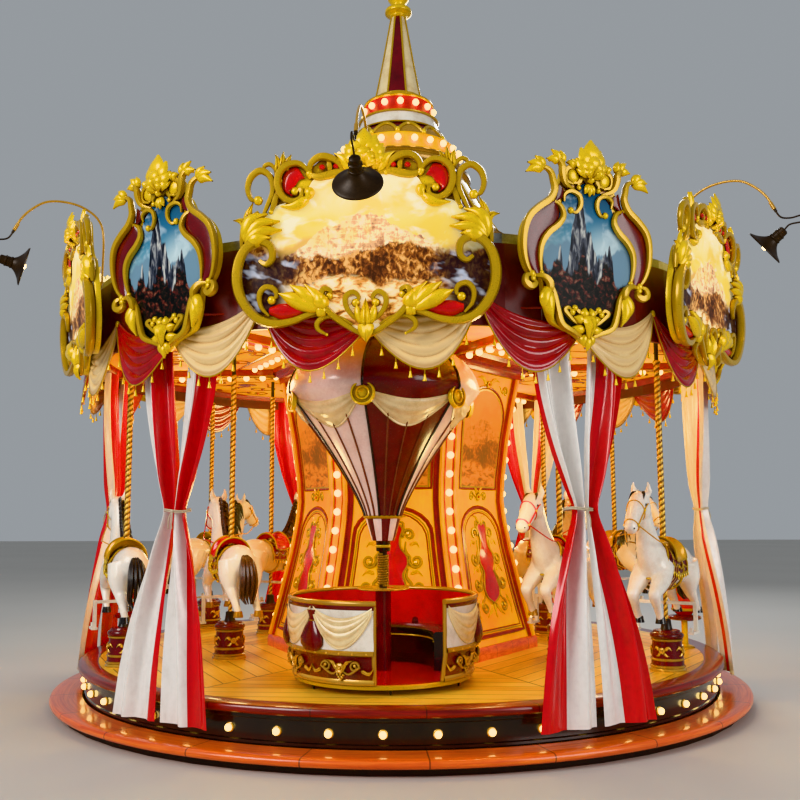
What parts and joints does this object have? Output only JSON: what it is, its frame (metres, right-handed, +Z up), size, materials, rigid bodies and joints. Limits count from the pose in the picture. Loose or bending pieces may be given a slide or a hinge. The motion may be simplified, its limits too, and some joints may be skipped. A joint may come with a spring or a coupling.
{
  "type": "fairground carousel",
  "caption": "Small fairground carousel with a turning deck, rising horses, a balloon gondola, a six-sided tower, picture shields, swags, curtains and a spire.",
  "frame": {"origin": "centre of the floor face, on the turning axis", "axes": "+Z up along the turning axis, -Y towards the front with the gondola, +X to the right"},
  "size_m": [5.9385, 6.8489, 6.38],
  "materials": {
    "mahogany_gloss": "gloss lacquer",
    "dark_steel": "satin black paint",
    "roof_steel": "grey paint",
    "deck_planks": "varnished boards",
    "orange_panel": "painted moulded panels",
    "maroon_lacquer": "gloss paint on moulding",
    "gold_leaf": "gold paint on moulding",
    "cream_moulding": "painted moulding",
    "curtain_vinyl": "glossy coated cloth",
    "horse_white": "painted moulding",
    "black_enamel": "enamel",
    "bench_black": "gloss moulding"
  },
  "bodies": {
    "base": {"base_frame": "dark_steel", "step_ring": "mahogany_gloss"},
    "turntable": {"turntable_frame": "roof_steel", "riser_skirt": "dark_steel", "deck_border": "mahogany_gloss", "deck_with_drums": "deck_planks", "tower_plinth": "mahogany_gloss", "tower_housing": "orange_panel", "tower_cornice": "mahogany_gloss", "ceiling": "orange_panel", "fascia": "maroon_lacquer", "valance": "cream_moulding", "shield_wide_1": "gold_leaf", "shield_wide_2": "gold_leaf", "shield_wide_3": "gold_leaf", "shield_wide_4": "gold_leaf", "shield_wide_5": "gold_leaf", "shield_wide_6": "gold_leaf", "shield_narrow_1": "gold_leaf", "shield_narrow_2": "gold_leaf", "shield_narrow_3": "gold_leaf", "shield_narrow_4": "gold_leaf", "shield_narrow_5": "gold_leaf", "shield_narrow_6": "gold_leaf", "roof_frame": "roof_steel", "gooseneck_lamp_1": "black_enamel", "gooseneck_lamp_2": "black_enamel", "gooseneck_lamp_3": "black_enamel", "gooseneck_lamp_4": "black_enamel", "gooseneck_lamp_5": "black_enamel", "gooseneck_lamp_6": "black_enamel", "crown_dome": "maroon_lacquer", "lower_light_ring": "gold_leaf", "upper_light_ring": "gold_leaf", "spire_cone": "maroon_lacquer", "finial": "gold_leaf", "curtain_1": "curtain_vinyl", "curtain_2": "curtain_vinyl", "curtain_3": "curtain_vinyl", "curtain_4": "curtain_vinyl", "curtain_5": "curtain_vinyl", "curtain_6": "curtain_vinyl", "gondola_post": "maroon_lacquer", "hand_wheel": "gold_leaf", "balloon": "maroon_lacquer"},
    "gondola": {"gondola_floor": "gold_leaf", "gondola_tub": "cream_moulding", "gondola_bench": "bench_black"},
    "horse_outer_60": {"horse_outer_60": "horse_white"},
    "horse_inner_60": {"horse_inner_60": "horse_white"},
    "horse_outer_120": {"horse_outer_120": "horse_white"},
    "horse_inner_120": {"horse_inner_120": "horse_white"},
    "horse_outer_180": {"horse_outer_180": "horse_white"},
    "horse_inner_180": {"horse_inner_180": "horse_white"},
    "horse_outer_240": {"horse_outer_240": "horse_white"},
    "horse_inner_240": {"horse_inner_240": "horse_white"},
    "horse_outer_300": {"horse_outer_300": "horse_white"},
    "horse_inner_300": {"horse_inner_300": "horse_white"}
  },
  "joints": [
    {"name": "turntable_spin", "type": "hinge", "parent": "base", "child": "turntable", "pos_m": [0, 0, 0.18], "axis": [0, 0, -1], "continuous": true},
    {"name": "gondola_spin", "type": "hinge", "parent": "turntable", "child": "gondola", "pos_m": [0, -1.64, 0.372], "axis": [0, 0, 1], "continuous": true},
    {"name": "rise_outer_60", "type": "slide", "parent": "turntable", "child": "horse_outer_60", "axis": [0, 0, 1], "range_m": [-0.1, 0.1]},
    {"name": "rise_inner_60", "type": "slide", "parent": "turntable", "child": "horse_inner_60", "axis": [0, 0, 1], "range_m": [-0.1, 0.1]},
    {"name": "rise_outer_120", "type": "slide", "parent": "turntable", "child": "horse_outer_120", "axis": [0, 0, 1], "range_m": [-0.1, 0.1]},
    {"name": "rise_inner_120", "type": "slide", "parent": "turntable", "child": "horse_inner_120", "axis": [0, 0, 1], "range_m": [-0.1, 0.1]},
    {"name": "rise_outer_180", "type": "slide", "parent": "turntable", "child": "horse_outer_180", "axis": [0, 0, 1], "range_m": [-0.1, 0.1]},
    {"name": "rise_inner_180", "type": "slide", "parent": "turntable", "child": "horse_inner_180", "axis": [0, 0, 1], "range_m": [-0.1, 0.1]},
    {"name": "rise_outer_240", "type": "slide", "parent": "turntable", "child": "horse_outer_240", "axis": [0, 0, 1], "range_m": [-0.1, 0.1]},
    {"name": "rise_inner_240", "type": "slide", "parent": "turntable", "child": "horse_inner_240", "axis": [0, 0, 1], "range_m": [-0.1, 0.1]},
    {"name": "rise_outer_300", "type": "slide", "parent": "turntable", "child": "horse_outer_300", "axis": [0, 0, 1], "range_m": [-0.1, 0.1]},
    {"name": "rise_inner_300", "type": "slide", "parent": "turntable", "child": "horse_inner_300", "axis": [0, 0, 1], "range_m": [-0.1, 0.1]}
  ],
  "couplings": [
    {"joint": "rise_inner_60", "follows": "rise_outer_60", "ratio": -1},
    {"joint": "rise_inner_120", "follows": "rise_outer_120", "ratio": -1},
    {"joint": "rise_inner_180", "follows": "rise_outer_180", "ratio": -1},
    {"joint": "rise_inner_240", "follows": "rise_outer_240", "ratio": -1},
    {"joint": "rise_inner_300", "follows": "rise_outer_300", "ratio": -1}
  ]
}
